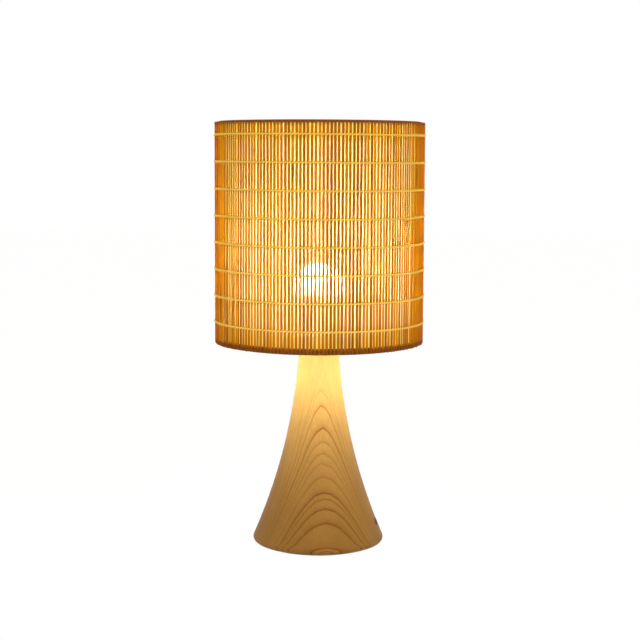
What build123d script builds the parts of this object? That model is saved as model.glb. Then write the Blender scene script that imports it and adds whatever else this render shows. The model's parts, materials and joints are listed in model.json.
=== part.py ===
from build123d import *

import math
import os

# Table lamp: a drum shade of split-bamboo sticks on a turned wooden base.
# Millimetres, +Z up. The origin is the centre of the foot on the table, and the front faces -Y.

# Shade
SHADE_DIAMETER = 200.0
SHADE_HEIGHT = 210.0
SLAT_COUNT = 180
SLAT_WIDTH = 1.9
SLAT_THICKNESS = 1.3
SLAT_ROUND = 0.4
THREAD_DIAMETER = 1.0
THREAD_ROWS = 8
THREAD_TOP_MARGIN = 12.3
THREAD_BOTTOM_MARGIN = 21.0
TOP_TAPE_HEIGHT = 17.5
BOTTOM_TAPE_HEIGHT = 17.0
TAPE_THICKNESS = 0.6
LINING_THICKNESS = 0.4
TOP_RING_WIRE = 3.0
BOTTOM_RING_WIRE = 5.0
SPOKE_COUNT = 3
SPOKE_WIRE = 3.5
SPOKE_OVERHANG = 1.5
FITTER_WIDTH = 7.0
FITTER_THICKNESS = 2.0

# Wooden base
BASE_HEIGHT = 185.5
FOOT_DIAMETER = 130.5
NECK_DIAMETER = 38.4
FLARE_RADIUS = 540.0
FOOT_ROUND = 4.0
NECK_ROUND = 0.8
RECESS_DIAMETER = 74.0
RECESS_HEADROOM = 8.0
LEDGE_WIDTH = 9.0
COVER_THICKNESS = 4.0
FELT_THICKNESS = 1.5
FELT_INSET = 5.0

# Cord gland
GLAND_HEIGHT = 22.0
GLAND_AZIMUTH = -10.0
GLAND_DIAMETER = 8.0
GLAND_BORE = 6.2
GLAND_FLANGE_DIAMETER = 12.0
GLAND_FLANGE_THICKNESS = 1.5
GLAND_PROUD = 0.8

# Tube through the base and what clamps it
TUBE_DIAMETER = 10.0
TUBE_WALL = 1.2
TUBE_END_SPARE = 1.0
NUT_ACROSS_FLATS = 15.0
CAP_NUT_HEIGHT = 2.5
BASE_NUT_HEIGHT = 6.0
WASHER_DIAMETER = 26.0
WASHER_THICKNESS = 2.0

# Cover screws
COVER_SCREW_COUNT = 3
COVER_SCREW_SHANK = 3.0
COVER_SCREW_HEAD = 6.0
COVER_SCREW_LENGTH = 14.0

# Terminal block inside the base
BLOCK_OFFSET = 24.0
BLOCK_LENGTH = 16.0
BLOCK_WIDTH = 18.0
BLOCK_HEIGHT = 14.0
POLE_SPACING = 10.0
SLEEVE_DIAMETER = 5.0
SLEEVE_BORE = 2.8
SLEEVE_HEIGHT = 6.0
SLEEVE_INSET = 1.0
BLOCK_SCREW_SHANK = 2.4
CLAMP_SCREW_DIAMETER = 2.4
CLAMP_SCREW_SPACING = 8.0
CLAMP_SCREW_SINK = 1.0

# Leads from the block to the holder
LEAD_DIAMETER = 1.8
LEAD_GAP = 0.9
LEAD_STRAIGHT = 4.0
LEAD_BLOCK_BEND = 6.0
LEAD_BASE_BEND = 8.0
LEAD_HOLDER_BEND = 2.4
LEAD_REACH = 6.5

# Edison screw shared by the bulb and the holder
SCREW_DIAMETER = 25.3
SCREW_DEPTH = 1.1
SCREW_PITCH = 3.629
SCREW_CLEARANCE = 0.25
SCREW_STEPS = 12

# Lamp holder
CAP_FLOOR = 2.0
CAP_HEIGHT = 7.0
CAP_WALL = 2.0
SPIGOT_HEIGHT = 4.3
SKIRT_WALL = 2.2
SKIRT_HEIGHT = 30.5
SKIRT_LIP = 5.0
FLANGE_RISE = 4.8
FLANGE_THICKNESS = 3.0
FLANGE_OVERHANG = 4.0
INSERT_WALL = 2.6
INSERT_FLOOR = 1.5
INSERT_PLUG = 1.5
SHELL_WALL = 0.6
SHELL_HEIGHT = 22.2
SHELL_HOLE_DIAMETER = 17.6
STRIP_WIDTH = 4.0
STRIP_THICKNESS = 0.5
STRIP_RISE = 1.3
STRIP_PAD = 4.5
STRIP_TONGUE = 5.5
LIVE_RIVET_OFFSET = 6.0
RIVET_SHANK = 2.4
RIVET_HEAD = 3.0
RIVET_HEAD_HEIGHT = 0.5
RIVET_DEPTH = 0.9
TERMINAL_START = 4.5
TERMINAL_LENGTH = 8.0
TERMINAL_WIDTH = 6.0
TERMINAL_HEIGHT = 4.0
TERMINAL_BORE = 2.2
TERMINAL_BORE_RISE = 1.5
TERMINAL_SCREW_HEAD = 4.0
TERMINAL_SCREW_HEAD_HEIGHT = 1.2
RING_THREAD_DEPTH = 0.8
RING_THREAD_PITCH = 2.5
RING_WALL = 4.5
RING_HEIGHT = 8.0
RING_FLANGE_OVERHANG = 2.0
RING_FLANGE_THICKNESS = 3.0
RING_NOTCH_COUNT = 16
RING_NOTCH_DIAMETER = 3.0

# Bulb
BULB_DIAMETER = 50.0
BULB_LENGTH = 70.0
DOME_SKIRT = 4.0
DOME_WALL = 1.4
CONTACT_DIAMETER = 9.2
CONTACT_HEIGHT = 1.0
CONTACT_STEM_DIAMETER = 3.0
CONTACT_STEM_LENGTH = 3.0
INSULATOR_HEIGHT = 4.0
INSULATOR_SPIGOT = 2.0
INSULATOR_TIP_DIAMETER = 10.4
BULB_CAP_WALL = 0.9
BULB_CAP_THREAD = 15.5
BULB_COLLAR_HEIGHT = 4.5
BULB_COLLAR_WALL = 2.2
HOUSING_SPIGOT = 12.0
HOUSING_WALL = 1.8
HOUSING_SHOULDER = 0.4
HOUSING_RIM = 2.0
BOARD_THICKNESS = 1.6
BOARD_LEDGE = 1.6
LED_COUNT = 8
LED_SIZE = 3.0
LED_HEIGHT = 0.7
LED_CIRCLE_DIAMETER = 24.0
DRIVER_WIDTH = 14.0
DRIVER_LENGTH = 22.0

# Clearances: pieces fixed to each other, pieces that turn, and the bulb above its sprung contact
FIT = 0.05
RUN = 0.1
FITTER_CLEARANCE = 0.5
CONTACT_GAP = 0.2

# Heights above the table, from the foot up
base_low = FELT_THICKNESS
base_top = base_low + BASE_HEIGHT
cover_top = base_low + COVER_THICKNESS
recess_top = GLAND_HEIGHT + GLAND_FLANGE_DIAMETER / 2 + RECESS_HEADROOM
washer_low = recess_top - WASHER_THICKNESS
base_nut_low = washer_low - BASE_NUT_HEIGHT
tube_low = base_nut_low - TUBE_END_SPARE
cap_floor_top = base_top + CAP_FLOOR
tube_top = cap_floor_top + CAP_NUT_HEIGHT + TUBE_END_SPARE / 2
skirt_low = base_top + CAP_HEIGHT
skirt_top = skirt_low + SKIRT_HEIGHT
insert_seat = skirt_low + SPIGOT_HEIGHT
insert_low = insert_seat - INSERT_PLUG
insert_floor = insert_seat + INSERT_FLOOR
insert_top = skirt_top - SKIRT_LIP
shell_top = insert_floor + SHELL_HEIGHT
terminal_low = insert_low - TERMINAL_HEIGHT
terminal_bore_z = terminal_low + TERMINAL_BORE_RISE
fitter_low = skirt_low + FLANGE_RISE + FLANGE_THICKNESS
fitter_top = fitter_low + FITTER_THICKNESS
ring_low = fitter_top + RUN
spoke_z = fitter_low + FITTER_THICKNESS / 2
shade_low = spoke_z - SPOKE_WIRE / 2 - FIT - BOTTOM_RING_WIRE
shade_top = shade_low + SHADE_HEIGHT
bulb_low = insert_floor + STRIP_THICKNESS + STRIP_RISE + CONTACT_GAP
bulb_top = bulb_low + BULB_LENGTH
insulator_low = bulb_low + CONTACT_HEIGHT + RUN
bulb_cap_low = insulator_low + INSULATOR_HEIGHT
collar_low = bulb_cap_low + BULB_CAP_THREAD
housing_low = collar_low + BULB_COLLAR_HEIGHT
dome_low = bulb_top - BULB_DIAMETER / 2 - DOME_SKIRT
board_low = dome_low - BOARD_THICKNESS
block_wire_z = cover_top + SLEEVE_HEIGHT

# Radii, from the screw outwards
shell_radius = SCREW_DIAMETER / 2 + SCREW_CLEARANCE + SCREW_DEPTH / 2 + SHELL_WALL
insert_bore = shell_radius + FIT
insert_radius = insert_bore + INSERT_WALL
skirt_bore = insert_radius + FIT
skirt_radius = skirt_bore + SKIRT_WALL
spigot_radius = skirt_bore - FIT
cap_bore = spigot_radius - CAP_WALL
flange_radius = skirt_radius + FLANGE_OVERHANG
fitter_bore = skirt_radius + FITTER_CLEARANCE
fitter_radius = fitter_bore + FITTER_WIDTH
ring_radius = skirt_radius + RING_WALL
neutral_rivet_offset = (SHELL_HOLE_DIAMETER / 2 + shell_radius - SHELL_WALL - SCREW_DEPTH) / 2
bulb_cap_bore = (SCREW_DIAMETER - SCREW_DEPTH) / 2 - BULB_CAP_WALL
collar_radius = bulb_cap_bore + BULB_COLLAR_WALL

# Radii of the shade, from the sticks inwards
slat_radius = SHADE_DIAMETER / 2
slat_bore = slat_radius - SLAT_THICKNESS
lining_radius = slat_bore - THREAD_DIAMETER - 2 * FIT
lining_bore = lining_radius - LINING_THICKNESS
tape_radius = lining_bore - FIT
tape_bore = tape_radius - TAPE_THICKNESS
top_ring_radius = tape_bore - FIT - TOP_RING_WIRE / 2
bottom_ring_radius = tape_bore - FIT - BOTTOM_RING_WIRE / 2

# Radii of the base
recess_radius = RECESS_DIAMETER / 2
cover_radius = recess_radius + LEDGE_WIDTH
cover_screw_circle = recess_radius + LEDGE_WIDTH / 2
tube_hole = TUBE_DIAMETER / 2 + FIT
lead_x = (LEAD_DIAMETER + LEAD_GAP) / 2

# The flare is one arc from the foot's corner to the neck, with its centre outside the base
chord_r = NECK_DIAMETER / 2 - FOOT_DIAMETER / 2
chord_length = math.hypot(chord_r, BASE_HEIGHT)
flare_depth = math.sqrt(FLARE_RADIUS**2 - (chord_length / 2) ** 2)
flare_centre_r = (FOOT_DIAMETER + NECK_DIAMETER) / 4 + flare_depth * BASE_HEIGHT / chord_length
flare_centre_z = base_low + BASE_HEIGHT / 2 - flare_depth * chord_r / chord_length

FROM_BELOW = (Align.CENTER, Align.CENTER, Align.MIN)
nodes = {}


def disc(radius, low, high):
    """A plain cylinder about Z between two heights."""
    return Pos(0, 0, low) * Cylinder(radius, high - low, align=FROM_BELOW)


def ring(outer, inner, low, high):
    """A tube about Z between two heights."""
    return disc(outer, low, high) - disc(inner, low, high)


def hoop(radius, wire, z):
    """A wire ring about Z."""
    return Pos(0, 0, z) * Torus(radius, wire / 2)


def rod(radius, x, y, low, high):
    """An upright cylinder beside the axis."""
    return Pos(x, y, 0) * disc(radius, low, high)


def radial_rod(radius, near, far, azimuth, z):
    """A level cylinder that points away from the axis."""
    lying = Pos(near, 0, z) * Rot(0, 90, 0)
    return Rot(0, 0, azimuth) * lying * Cylinder(radius, far - near, align=FROM_BELOW)


def screw_form(mean_radius, depth, pitch, low, high):
    """A round-threaded rod: circles whose centre goes once round the axis in each pitch of rise."""
    count = math.ceil((high - low) / pitch * SCREW_STEPS)
    sections = []
    for step in range(count + 1):
        height = low + (high - low) * step / count
        angle = math.tau * height / pitch
        centre = Pos(depth / 2 * math.cos(angle), depth / 2 * math.sin(angle), height)
        sections.append(centre * Circle(mean_radius).face())
    return loft(sections, ruled=True)


def turned(*edges):
    """A solid of revolution about Z from a closed outline in radius and height."""
    return revolve(Plane.XZ * make_face(list(edges)), Axis.Z)


def polygon_turned(*points):
    """A solid of revolution about Z from a straight-sided outline."""
    return turned(*Polyline(*points, close=True).edges())


def add(name, *shapes):
    """Keep a node's solids under its name."""
    solids = []
    for shape in shapes:
        solids.extend(shape.solids())
    nodes[name] = solids


def flare_radius(height, proud=0.0):
    """Radius of the wood at a height, or of a surface that stands proud of it."""
    reach = FLARE_RADIUS - proud
    return flare_centre_r - math.sqrt(reach**2 - (height - flare_centre_z) ** 2)


def flare_solid(proud=0.0):
    """The turned outline of the base, before its edges are rounded."""
    middle = (base_low + base_top) / 2
    foot = (flare_radius(base_low, proud), base_low)
    waist = (flare_radius(middle, proud), middle)
    neck = (flare_radius(base_top, proud), base_top)
    side = ThreePointArc(foot, waist, neck)
    inside = Polyline(neck, (0, base_top), (0, base_low), foot)
    return turned(side, *inside.edges())


def cover_screw_places():
    """The x and y of each cover screw."""
    places = []
    for index in range(COVER_SCREW_COUNT):
        azimuth = 90 + 360 * index / COVER_SCREW_COUNT
        x = cover_screw_circle * math.cos(math.radians(azimuth))
        y = cover_screw_circle * math.sin(math.radians(azimuth))
        places.append((x, y))
    return places


def make_shade_mat():
    """The sticks, the thread rows outside and inside them, and the cloth lining that the rows lie on."""
    section = RectangleRounded(SLAT_THICKNESS, SLAT_WIDTH, SLAT_ROUND)
    slat = Pos(0, 0, shade_low) * extrude(section, SHADE_HEIGHT)
    places = PolarLocations(slat_radius - SLAT_THICKNESS / 2, SLAT_COUNT)
    add("bamboo_slats", *[place * slat for place in places])

    first = shade_top - THREAD_TOP_MARGIN
    last = shade_low + THREAD_BOTTOM_MARGIN
    outside = slat_radius + FIT + THREAD_DIAMETER / 2
    inside = slat_bore - FIT - THREAD_DIAMETER / 2
    threads = []
    for row in range(THREAD_ROWS):
        z = first + (last - first) * row / (THREAD_ROWS - 1)
        threads.append(hoop(outside, THREAD_DIAMETER, z))
        threads.append(hoop(inside, THREAD_DIAMETER, z))
    add("weaving_threads", *threads)
    add("shade_lining", ring(lining_radius, lining_bore, shade_low, shade_top))


def make_shade_frame():
    """Hem tapes, hoops, spokes and the ring that sits on the holder."""
    add("top_hem_tape", ring(tape_radius, tape_bore, shade_top - TOP_TAPE_HEIGHT, shade_top))
    add("bottom_hem_tape", ring(tape_radius, tape_bore, shade_low, shade_low + BOTTOM_TAPE_HEIGHT))
    add("top_ring", hoop(top_ring_radius, TOP_RING_WIRE, shade_top - TOP_RING_WIRE / 2))
    add("bottom_ring", hoop(bottom_ring_radius, BOTTOM_RING_WIRE, shade_low + BOTTOM_RING_WIRE / 2))

    spoke_end = bottom_ring_radius + SPOKE_OVERHANG
    spokes = []
    for index in range(SPOKE_COUNT):
        azimuth = 90 + 360 * index / SPOKE_COUNT
        spokes.append(radial_rod(SPOKE_WIRE / 2, fitter_radius + FIT, spoke_end, azimuth, spoke_z))
    add("fitter_spokes", *spokes)
    add("fitter_ring", ring(fitter_radius, fitter_bore, fitter_low, fitter_top))


def make_base_body():
    """Turned wood with its bore, recess, cover rebate, gland hole and pilot holes."""
    body = flare_solid()
    rims = body.edges().filter_by(GeomType.CIRCLE).sort_by(Axis.Z)
    body = fillet(rims[0], FOOT_ROUND)
    rims = body.edges().filter_by(GeomType.CIRCLE).sort_by(Axis.Z)
    body = fillet(rims[-1], NECK_ROUND)
    body -= disc(tube_hole, base_low, base_top)
    body -= disc(recess_radius, base_low, recess_top)
    body -= disc(cover_radius + FIT, base_low, cover_top)
    body -= radial_rod(GLAND_DIAMETER / 2 + FIT, 0, FOOT_DIAMETER, GLAND_AZIMUTH, GLAND_HEIGHT)
    for x, y in cover_screw_places():
        body -= rod(COVER_SCREW_SHANK / 2 + FIT, x, y, base_low, base_low + COVER_SCREW_LENGTH + FIT)
    add("base_body", body)


def make_cord_gland():
    """A flanged bush pushed out through the wall, cut to follow the wood."""
    half_flange = GLAND_FLANGE_DIAMETER / 2
    seat = math.sqrt(recess_radius**2 - half_flange**2)
    start = seat - GLAND_FLANGE_THICKNESS
    sleeve = radial_rod(GLAND_DIAMETER / 2, start, FOOT_DIAMETER, GLAND_AZIMUTH, GLAND_HEIGHT)
    sleeve &= flare_solid(GLAND_PROUD)
    sleeve += radial_rod(half_flange, start, seat, GLAND_AZIMUTH, GLAND_HEIGHT)
    sleeve -= radial_rod(GLAND_BORE / 2, 0, FOOT_DIAMETER, GLAND_AZIMUTH, GLAND_HEIGHT)
    add("cord_gland", sleeve)


def make_foot():
    """Cover, its countersunk screws, and the felt that hides them."""
    cover = disc(cover_radius, base_low, cover_top)
    screws = []
    shank = COVER_SCREW_SHANK / 2
    head = COVER_SCREW_HEAD / 2
    sink = head - shank
    end = base_low + COVER_SCREW_LENGTH
    for x, y in cover_screw_places():
        cone = Pos(x, y, base_low) * Cone(head + FIT, shank + FIT, sink, align=FROM_BELOW)
        cover -= cone
        cover -= rod(shank + FIT, x, y, base_low, cover_top)
        screw_head = Pos(x, y, base_low) * Cone(head, shank, sink, align=FROM_BELOW)
        screws.append(screw_head + rod(shank, x, y, base_low + sink, end))
    cover -= rod(BLOCK_SCREW_SHANK / 2 + FIT, -BLOCK_OFFSET, 0, base_low, cover_top)
    add("bottom_cover", cover)
    add("cover_screws", *screws)
    add("felt_pad", disc(FOOT_DIAMETER / 2 - FOOT_ROUND - FELT_INSET, 0, FELT_THICKNESS))


def make_tube():
    """Threaded tube, the nuts at its two ends and the washer under the wood."""
    tube_bore = TUBE_DIAMETER / 2 - TUBE_WALL
    add("centre_tube", ring(TUBE_DIAMETER / 2, tube_bore, tube_low, tube_top))
    hexagon = RegularPolygon(NUT_ACROSS_FLATS / 2, 6, major_radius=False) - Circle(tube_hole)
    add("cap_nut", Pos(0, 0, cap_floor_top) * extrude(hexagon, CAP_NUT_HEIGHT))
    add("base_nut", Pos(0, 0, base_nut_low) * extrude(hexagon, BASE_NUT_HEIGHT))
    add("base_washer", ring(WASHER_DIAMETER / 2, tube_hole, washer_low, recess_top))


def make_terminal_block():
    """Two-pole block on the cover, with its sleeves, clamp screws and fixing screw."""
    block_top = cover_top + BLOCK_HEIGHT
    box = Box(BLOCK_LENGTH, BLOCK_WIDTH, BLOCK_HEIGHT, align=FROM_BELOW)
    block = Pos(-BLOCK_OFFSET, 0, cover_top) * box
    sleeve_length = BLOCK_LENGTH - 2 * SLEEVE_INSET
    lying = Pos(-BLOCK_OFFSET, 0, block_wire_z) * Rot(0, 90, 0)
    sleeves = []
    screws = []
    for side in (-1, 1):
        y = side * POLE_SPACING / 2
        place = Pos(0, y, 0) * lying
        block -= place * Cylinder(SLEEVE_DIAMETER / 2 + FIT, sleeve_length)
        block -= place * Cylinder(SLEEVE_BORE / 2, BLOCK_LENGTH)
        sleeve = place * Cylinder(SLEEVE_DIAMETER / 2, sleeve_length)
        sleeve -= place * Cylinder(SLEEVE_BORE / 2, sleeve_length)
        for step in (-1, 1):
            x = -BLOCK_OFFSET + step * CLAMP_SCREW_SPACING / 2
            hole = rod(CLAMP_SCREW_DIAMETER / 2 + FIT, x, y, block_wire_z, block_top)
            block -= hole
            sleeve -= hole
            low = block_wire_z + LEAD_DIAMETER / 2 + RUN
            high = block_top - CLAMP_SCREW_SINK
            screws.append(rod(CLAMP_SCREW_DIAMETER / 2, x, y, low, high))
        sleeves.append(sleeve)
    shank = BLOCK_SCREW_SHANK / 2
    block -= rod(shank + FIT, -BLOCK_OFFSET, 0, cover_top, block_top)
    fixing = rod(shank, -BLOCK_OFFSET, 0, base_low, block_top)
    fixing += rod(2 * shank, -BLOCK_OFFSET, 0, block_top, block_top + shank)
    add("terminal_block", block)
    add("terminal_sleeves", *sleeves)
    add("terminal_block_screws", *screws)
    add("block_screw", fixing)


def make_lead(name, side):
    """One lead: out of the block, down the middle, up the tube and into its terminal."""
    pole_y = side * POLE_SPACING / 2
    tube_x = side * lead_x
    start_x = -BLOCK_OFFSET + BLOCK_LENGTH / 2 - SLEEVE_INSET - LEAD_STRAIGHT
    turn_x = start_x + 2 * LEAD_STRAIGHT
    end_x = side * (TERMINAL_START + LEAD_REACH)
    points = [
        (start_x, pole_y, block_wire_z),
        (turn_x, pole_y, block_wire_z),
        (tube_x, 0, block_wire_z),
        (tube_x, 0, terminal_bore_z),
        (end_x, 0, terminal_bore_z),
    ]
    bends = [LEAD_BLOCK_BEND, LEAD_BASE_BEND, LEAD_HOLDER_BEND]
    route = FilletPolyline(*points, radius=bends)
    section = Plane(origin=route @ 0, z_dir=route % 0) * Circle(LEAD_DIAMETER / 2)
    lead = sweep(section, path=route)
    expected = math.pi * LEAD_DIAMETER**2 / 4 * route.length
    print(name, "bends", bends, "volume over section times length", round(lead.volume / expected, 4))
    add(name, lead)


def make_holder_body():
    """Cap on the neck, and the threaded skirt with the flange that carries the shade."""
    cap = disc(skirt_radius, base_top, skirt_low)
    cap += disc(spigot_radius, skirt_low, insert_seat)
    cap -= disc(cap_bore, cap_floor_top, insert_seat)
    cap -= disc(tube_hole, base_top, cap_floor_top)
    add("holder_cap", cap)

    thread_mean = skirt_radius - RING_THREAD_DEPTH / 2
    skirt = disc(skirt_radius, skirt_low, fitter_low)
    skirt += disc(flange_radius, fitter_low - FLANGE_THICKNESS, fitter_low)
    skirt += screw_form(thread_mean, RING_THREAD_DEPTH, RING_THREAD_PITCH, fitter_low, skirt_top)
    skirt -= disc(skirt_bore, skirt_low, insert_top)
    skirt -= disc(shell_radius + FIT, insert_top, skirt_top)
    add("holder_skirt", skirt)

    nut = disc(ring_radius, ring_low, ring_low + RING_HEIGHT)
    nut += disc(ring_radius + RING_FLANGE_OVERHANG, ring_low, ring_low + RING_FLANGE_THICKNESS)
    nut_mean = thread_mean + RUN
    nut -= screw_form(nut_mean, RING_THREAD_DEPTH, RING_THREAD_PITCH, ring_low, ring_low + RING_HEIGHT)
    notch_low = ring_low + RING_FLANGE_THICKNESS
    notch = disc(RING_NOTCH_DIAMETER / 2, notch_low, ring_low + RING_HEIGHT)
    for place in PolarLocations(ring_radius, RING_NOTCH_COUNT):
        nut -= place * notch
    add("shade_ring", nut)


def make_holder_inside():
    """Ceramic insert, threaded shell, sprung strip, rivets, terminals and their screws."""
    insert = disc(cap_bore - FIT, insert_low, insert_seat)
    insert += disc(insert_radius, insert_seat, insert_top)
    insert -= disc(insert_bore, insert_floor, insert_top)

    shell = disc(shell_radius, insert_floor, shell_top)
    mean = SCREW_DIAMETER / 2 + SCREW_CLEARANCE
    shell -= screw_form(mean, SCREW_DEPTH, SCREW_PITCH, insert_floor + STRIP_THICKNESS, shell_top)
    shell -= disc(SHELL_HOLE_DIAMETER / 2, insert_floor, insert_floor + STRIP_THICKNESS)

    strip_top = insert_floor + STRIP_THICKNESS
    pad_end = LIVE_RIVET_OFFSET + STRIP_PAD / 2
    pad_start = LIVE_RIVET_OFFSET - STRIP_PAD / 2
    tongue_start = STRIP_TONGUE / 2
    outline = Polyline(
        (pad_end, insert_floor),
        (pad_start, insert_floor),
        (tongue_start, insert_floor + STRIP_RISE),
        (-tongue_start, insert_floor + STRIP_RISE),
        (-tongue_start, strip_top + STRIP_RISE),
        (tongue_start, strip_top + STRIP_RISE),
        (pad_start, strip_top),
        (pad_end, strip_top),
        close=True,
    )
    strip = extrude(Plane.XZ * make_face(outline.edges()), STRIP_WIDTH / 2, both=True)

    rivets = []
    terminals = []
    screws = []
    shank = RIVET_SHANK / 2
    for side, offset in ((1, LIVE_RIVET_OFFSET), (-1, -neutral_rivet_offset)):
        rivet_low = insert_low - RIVET_DEPTH
        hole = rod(shank + FIT, offset, 0, rivet_low, strip_top)
        head = rod(RIVET_HEAD / 2, offset, 0, strip_top, strip_top + RIVET_HEAD_HEIGHT)
        rivets.append(rod(shank, offset, 0, rivet_low, strip_top) + head)
        insert -= hole
        shell -= hole
        strip -= hole

        middle = side * (TERMINAL_START + TERMINAL_LENGTH / 2)
        box = Box(TERMINAL_LENGTH, TERMINAL_WIDTH, TERMINAL_HEIGHT, align=FROM_BELOW)
        terminal = Pos(middle, 0, terminal_low) * box
        terminal -= hole
        lying = Pos(middle, 0, terminal_bore_z) * Rot(0, 90, 0)
        terminal -= lying * Cylinder(TERMINAL_BORE / 2, TERMINAL_LENGTH)
        wire_low = terminal_bore_z - LEAD_DIAMETER / 2 - FIT
        terminal -= rod(CLAMP_SCREW_DIAMETER / 2 + FIT, middle, 0, terminal_low, terminal_bore_z)
        screw = rod(CLAMP_SCREW_DIAMETER / 2, middle, 0, terminal_low, wire_low)
        screw_low = terminal_low - TERMINAL_SCREW_HEAD_HEIGHT
        screw += rod(TERMINAL_SCREW_HEAD / 2, middle, 0, screw_low, terminal_low)
        terminals.append(terminal)
        screws.append(screw)
    add("holder_insert", insert)
    add("screw_shell", shell)
    add("centre_contact", strip)
    add("contact_rivets", *rivets)
    add("holder_terminals", *terminals)
    add("holder_terminal_screws", *screws)


def make_bulb_cap():
    """Centre contact, insulating cone and threaded cap of the bulb."""
    contact = disc(CONTACT_DIAMETER / 2, bulb_low, bulb_low + CONTACT_HEIGHT)
    stem_top = bulb_low + CONTACT_HEIGHT + CONTACT_STEM_LENGTH
    contact += disc(CONTACT_STEM_DIAMETER / 2, bulb_low + CONTACT_HEIGHT, stem_top)
    add("bulb_contact", contact)

    tip = INSULATOR_TIP_DIAMETER / 2
    shoulder = (SCREW_DIAMETER - SCREW_DEPTH) / 2
    spigot = bulb_cap_bore - FIT
    spigot_top = bulb_cap_low + INSULATOR_SPIGOT
    insulator = polygon_turned(
        (0, insulator_low),
        (tip, insulator_low),
        (shoulder, bulb_cap_low),
        (spigot, bulb_cap_low),
        (spigot, spigot_top),
        (0, spigot_top),
    )
    insulator -= disc(CONTACT_STEM_DIAMETER / 2 + FIT, insulator_low, stem_top + RUN)
    add("bulb_insulator", insulator)

    cap = screw_form(SCREW_DIAMETER / 2, SCREW_DEPTH, SCREW_PITCH, bulb_cap_low, collar_low)
    cap += disc(collar_radius, collar_low, housing_low)
    cap -= disc(bulb_cap_bore, bulb_cap_low, housing_low)
    add("bulb_screw_cap", cap)


def make_bulb_body():
    """Housing, light source, driver board and opal dome of the bulb."""
    radius = BULB_DIAMETER / 2
    spigot = bulb_cap_bore - FIT
    bore = spigot - HOUSING_WALL
    foot = housing_low - HOUSING_SPIGOT
    rim_low = dome_low - HOUSING_RIM
    board_radius = radius - HOUSING_WALL - FIT
    seat = board_radius - BOARD_LEDGE
    housing = polygon_turned(
        (bore, foot),
        (spigot, foot),
        (spigot, housing_low),
        (collar_radius + HOUSING_SHOULDER, housing_low),
        (radius, rim_low),
        (radius, dome_low),
        (board_radius + FIT, dome_low),
        (board_radius + FIT, board_low),
        (seat, board_low),
        (seat, rim_low),
        (bore, housing_low),
    )
    add("bulb_housing", housing)
    add("bulb_led_board", disc(board_radius, board_low, dome_low))

    led = Pos(0, 0, dome_low) * Box(LED_SIZE, LED_SIZE, LED_HEIGHT, align=FROM_BELOW)
    add("bulb_leds", *[place * led for place in PolarLocations(LED_CIRCLE_DIAMETER / 2, LED_COUNT)])
    driver = Box(DRIVER_WIDTH, BOARD_THICKNESS, DRIVER_LENGTH, align=FROM_BELOW)
    add("bulb_driver", Pos(0, 0, board_low - DRIVER_LENGTH) * driver)

    inner = radius - DOME_WALL
    waist = dome_low + DOME_SKIRT
    half = math.sqrt(0.5)
    outside = ThreePointArc((radius, waist), (radius * half, waist + radius * half), (0, bulb_top))
    inside = ThreePointArc((0, waist + inner), (inner * half, waist + inner * half), (inner, waist))
    axis = Line((0, bulb_top), (0, waist + inner))
    wall = Polyline((inner, waist), (inner, dome_low), (radius, dome_low), (radius, waist))
    add("bulb_diffuser", turned(outside, axis, inside, *wall.edges()))


make_shade_mat()
make_shade_frame()
make_base_body()
make_cord_gland()
make_foot()
make_tube()
make_terminal_block()
make_lead("live_lead", 1)
make_lead("neutral_lead", -1)
make_holder_body()
make_holder_inside()
make_bulb_cap()
make_bulb_body()

os.makedirs("parts", exist_ok=True)
for name, solids in nodes.items():
    export_step(Compound(solids), f"parts/{name}.step")
print(len(nodes), "nodes; shade from", round(shade_low, 2), "to", round(shade_top, 2))
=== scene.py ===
import json
import math
import random

import bpy
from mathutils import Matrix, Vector
from mathutils.bvhtree import BVHTree


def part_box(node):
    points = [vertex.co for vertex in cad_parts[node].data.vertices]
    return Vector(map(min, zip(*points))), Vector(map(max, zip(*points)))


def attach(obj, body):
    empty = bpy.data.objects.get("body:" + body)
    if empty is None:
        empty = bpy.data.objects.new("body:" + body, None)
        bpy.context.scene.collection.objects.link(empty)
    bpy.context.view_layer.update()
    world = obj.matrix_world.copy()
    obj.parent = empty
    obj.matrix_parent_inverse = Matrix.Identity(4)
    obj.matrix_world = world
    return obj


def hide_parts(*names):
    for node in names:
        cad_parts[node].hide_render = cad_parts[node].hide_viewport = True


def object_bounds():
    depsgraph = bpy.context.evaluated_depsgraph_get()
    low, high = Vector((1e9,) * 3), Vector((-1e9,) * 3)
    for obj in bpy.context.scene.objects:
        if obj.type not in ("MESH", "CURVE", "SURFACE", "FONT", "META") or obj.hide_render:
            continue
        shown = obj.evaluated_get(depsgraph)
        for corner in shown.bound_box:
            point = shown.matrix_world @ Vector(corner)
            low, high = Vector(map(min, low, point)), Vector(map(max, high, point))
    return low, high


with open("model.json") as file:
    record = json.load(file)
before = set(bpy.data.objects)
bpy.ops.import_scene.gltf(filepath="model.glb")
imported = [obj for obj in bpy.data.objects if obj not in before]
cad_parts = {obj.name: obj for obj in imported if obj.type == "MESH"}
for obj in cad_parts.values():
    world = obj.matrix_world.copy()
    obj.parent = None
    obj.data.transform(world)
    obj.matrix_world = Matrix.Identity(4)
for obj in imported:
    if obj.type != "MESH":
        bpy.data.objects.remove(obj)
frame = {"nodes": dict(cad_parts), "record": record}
cad_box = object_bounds()
nodes = frame["nodes"]
node_slots = {row["node"]: row["material_slot"] for row in frame["record"]["subparts"]}

MM = 0.001
TURN = 2 * math.pi
SEED = 11

# Shade, as the frame gives it
SHADE_LOW, SHADE_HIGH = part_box("bamboo_slats")
SHADE_RADIUS = SHADE_HIGH.x

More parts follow.
